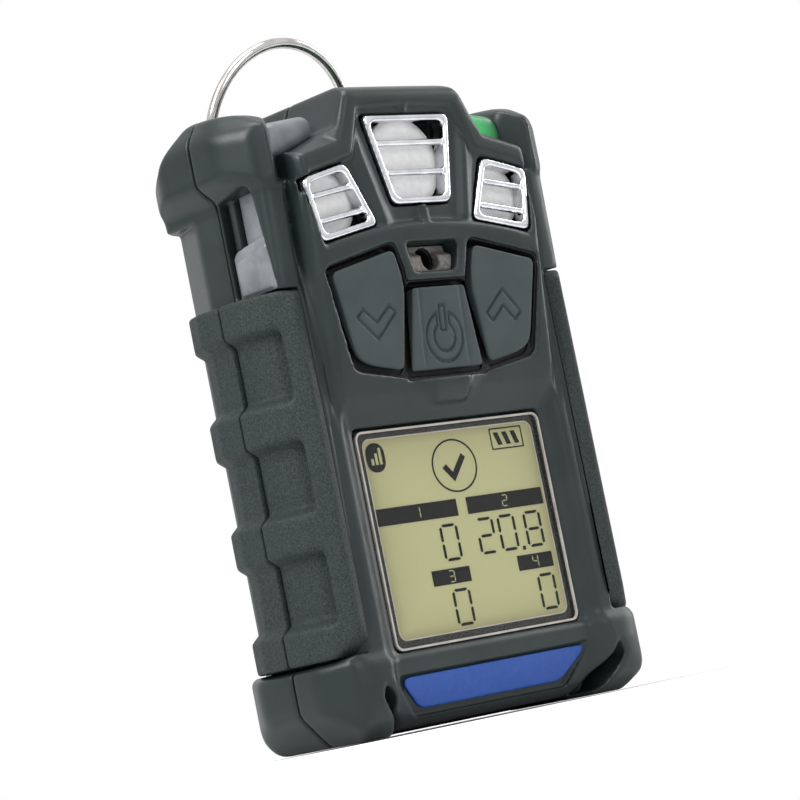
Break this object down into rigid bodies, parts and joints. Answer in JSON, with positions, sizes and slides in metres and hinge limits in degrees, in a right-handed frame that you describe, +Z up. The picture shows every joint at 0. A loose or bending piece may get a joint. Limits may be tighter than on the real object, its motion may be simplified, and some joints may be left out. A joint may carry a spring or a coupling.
{
  "type": "portable gas detector",
  "caption": "Hand-held multi-gas detector with slotted gas inlets, a press-key pad, a display, rubber side grips, a carrying ring and a belt clip",
  "frame": {"origin": "middle of the detector's footprint, on the plane of its feet, halfway between the front of the head and the back of the belt clip", "axes": "+Z up along the case, +Y from the display towards the belt clip, +X to the right as seen from the front"},
  "size_m": [0.076, 0.0458, 0.1281],
  "materials": {
    "case_rubber": "satin moulded elastomer, charcoal",
    "grip_rubber": "fine-grained elastomer",
    "key_rubber": "smooth silicone",
    "black_rubber": "matt black",
    "chrome_trim": "polished plating",
    "filter_white": "porous membrane",
    "sensor_can": "moulded sensor housing",
    "horn_plastic": "matt",
    "lens_plastic": "frosted translucent",
    "window_glass": "clear, coated",
    "frame_plastic": "satin",
    "liquid_crystal": "reflective olive",
    "light_guide": "diffusing sheet",
    "blue_label": "blank printed film",
    "grey_label": "blank film",
    "board_green": "solder resist",
    "chip_black": "moulded packages",
    "lamp_clear": "clear epoxy",
    "cell_wrap": "shrink wrap",
    "steel": "plain",
    "spring_wire": "bright drawn wire",
    "gold_contact": "gold flash",
    "clip_plastic": "glass-filled nylon"
  },
  "bodies": {
    "case": {"front_case": "case_rubber", "rear_case": "case_rubber", "case_seal": "black_rubber", "case_screws": "steel", "grip_left_front": "grip_rubber", "grip_left_rear": "grip_rubber", "grip_right_front": "grip_rubber", "grip_right_rear": "grip_rubber", "display_window": "window_glass", "display_frame": "frame_plastic", "display_panel": "liquid_crystal", "display_backlight": "light_guide", "keypad_mat": "black_rubber", "key_switches": "steel", "keypad_board": "board_green", "horn_cover": "horn_plastic", "horn_sounder": "chip_black", "inlet_left": "chrome_trim", "inlet_centre": "chrome_trim", "inlet_right": "chrome_trim", "filter_left": "filter_white", "filter_centre": "filter_white", "filter_right": "filter_white", "sensor_toxic": "sensor_can", "sensor_oxygen": "sensor_can", "sensor_combustible": "sensor_can", "shoulder_lens_left": "lens_plastic", "shoulder_lens_right": "lens_plastic", "side_lens_left": "lens_plastic", "side_lens_right": "lens_plastic", "name_plate": "blue_label", "circuit_board": "board_green", "board_chips": "chip_black", "alarm_lamps": "lamp_clear", "battery_pack": "cell_wrap", "vibration_motor": "steel", "motor_cradle": "clip_plastic", "charging_block": "clip_plastic", "charging_contacts": "gold_contact", "ring_bracket": "steel", "clip_plate": "steel", "clip_screws": "steel", "clip_pin": "steel", "clip_spring": "spring_wire", "rear_label": "grey_label"},
    "down_key": {"key_down": "key_rubber"},
    "power_key": {"key_power": "key_rubber"},
    "up_key": {"key_up": "key_rubber"},
    "vibrator_weight": {"vibration_weight": "steel"},
    "ring": {"carrying_ring": "spring_wire"},
    "clip": {"clip_lever": "steel"}
  },
  "joints": [
    {"name": "down_key_press", "type": "slide", "parent": "case", "child": "down_key", "axis": [0, 1, 0], "range_m": [0, 0.0007], "stiffness_N_per_m": 2200},
    {"name": "power_key_press", "type": "slide", "parent": "case", "child": "power_key", "axis": [0, 1, 0], "range_m": [0, 0.0007], "stiffness_N_per_m": 2200},
    {"name": "up_key_press", "type": "slide", "parent": "case", "child": "up_key", "axis": [0, 1, 0], "range_m": [0, 0.0007], "stiffness_N_per_m": 2200},
    {"name": "ring_swing", "type": "hinge", "parent": "case", "child": "ring", "pos_m": [0, 0.0137, 0.104], "axis": [1, 0, 0], "range_deg": [-196, 0]},
    {"name": "clip_open", "type": "hinge", "parent": "case", "child": "clip", "pos_m": [0, 0.0164, 0.062], "axis": [1, 0, 0], "range_deg": [0, 20], "stiffness_Nm_per_rad": 0.9},
    {"name": "vibrator_spin", "type": "hinge", "parent": "case", "child": "vibrator_weight", "pos_m": [0.0024, 0.0026, 0.075], "axis": [1, 0, 0], "continuous": true}
  ]
}
